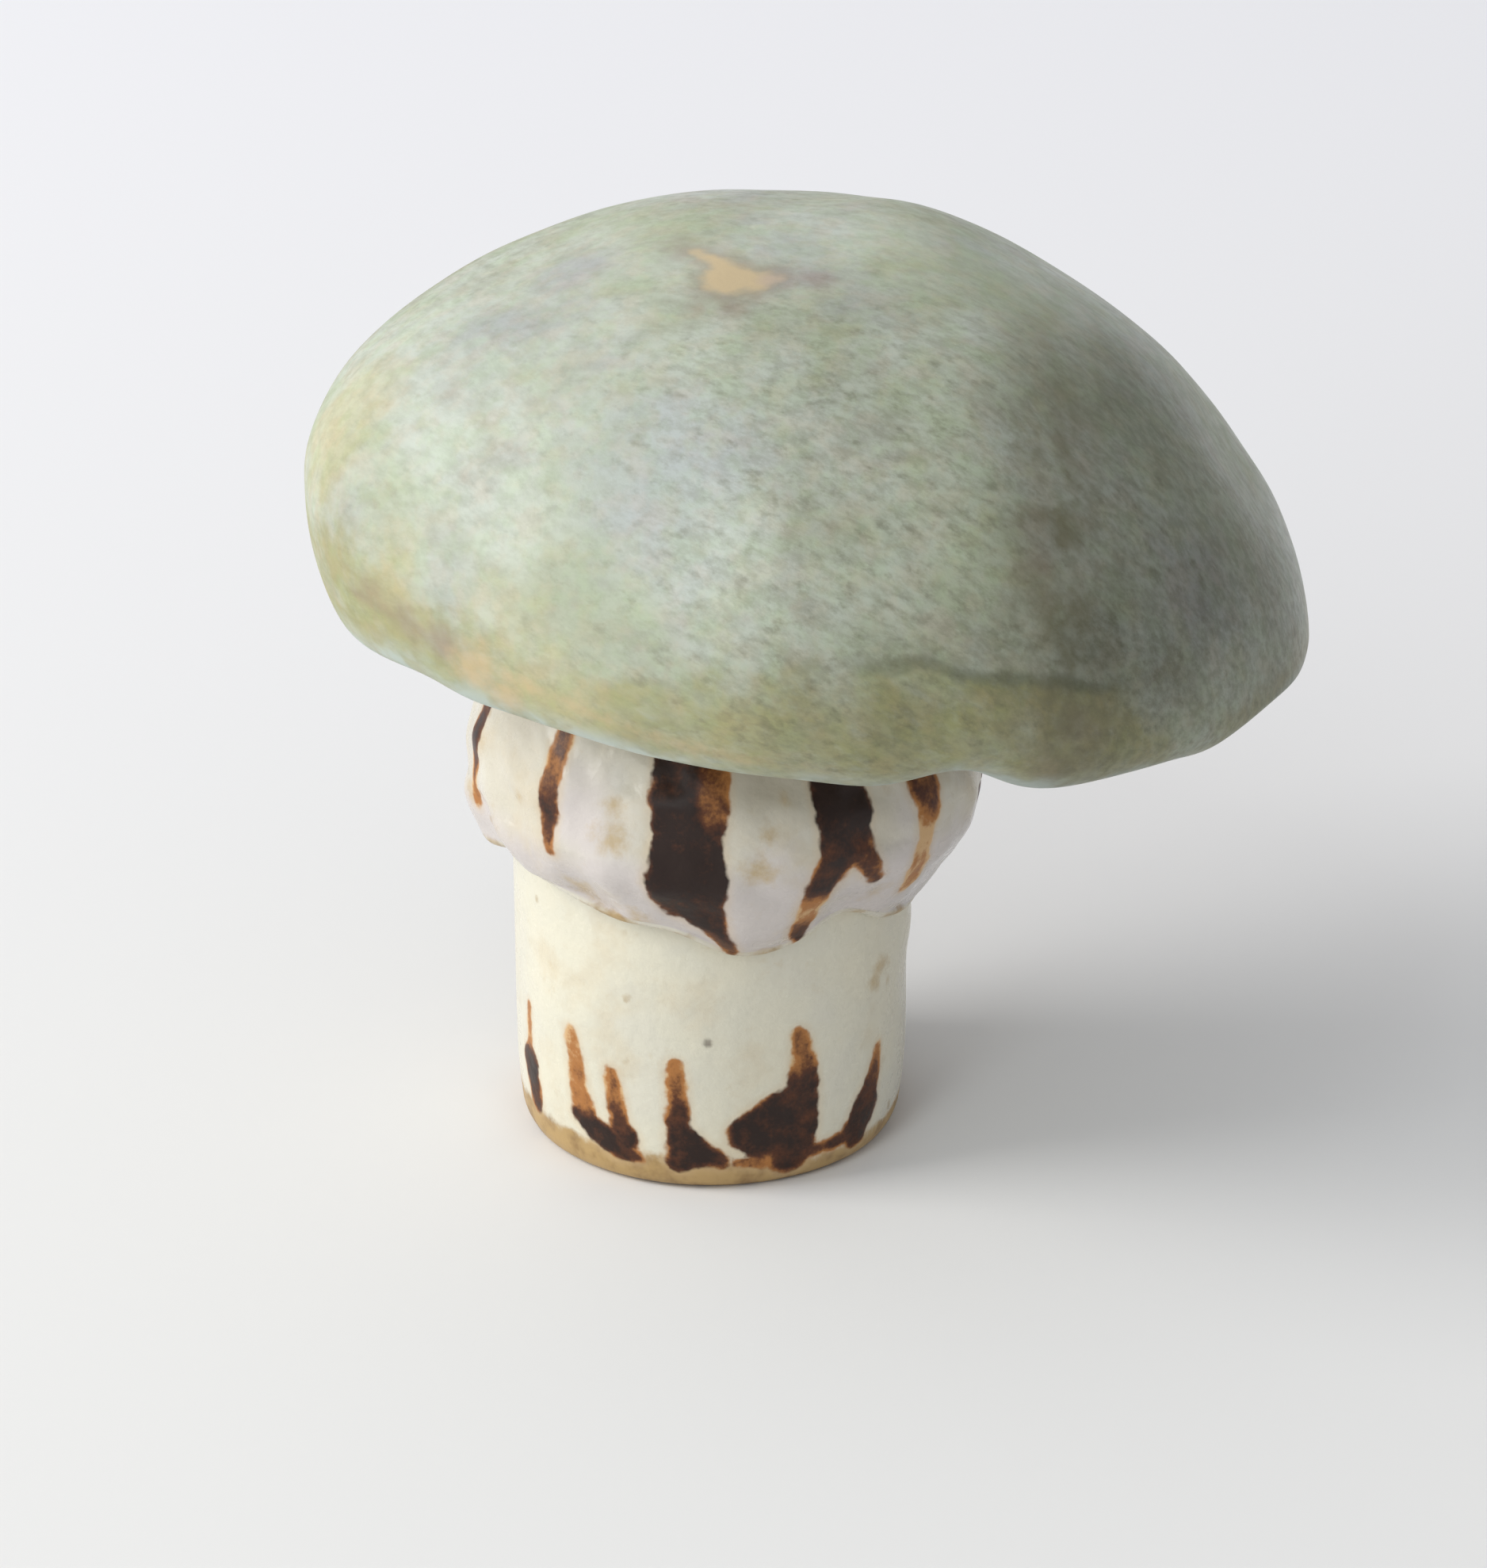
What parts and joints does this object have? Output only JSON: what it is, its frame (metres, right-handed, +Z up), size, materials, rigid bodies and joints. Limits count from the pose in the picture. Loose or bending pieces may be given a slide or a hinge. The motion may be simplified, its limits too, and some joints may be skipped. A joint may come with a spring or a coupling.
{
  "type": "ceramic mushroom figurine",
  "caption": "Hand-built glazed ceramic mushroom in the form of a death cap: off-centre domed hollow cap, draped skirt and open-footed tubular stem.",
  "frame": {"origin": "on the surface it stands on, under the middle of the cap's outline seen from above", "axes": "+Z up; +X towards the cap's long, lower side, the right of the picture; -Y towards the viewer of the picture"},
  "size_m": [0.0866, 0.0798, 0.0842],
  "materials": {
    "cap_glaze": "satin",
    "skirt_glaze": "gloss",
    "stem_glaze": "gloss"
  },
  "bodies": {
    "root": {"cap": "cap_glaze", "skirt": "skirt_glaze", "stem": "stem_glaze"}
  },
  "joints": []
}
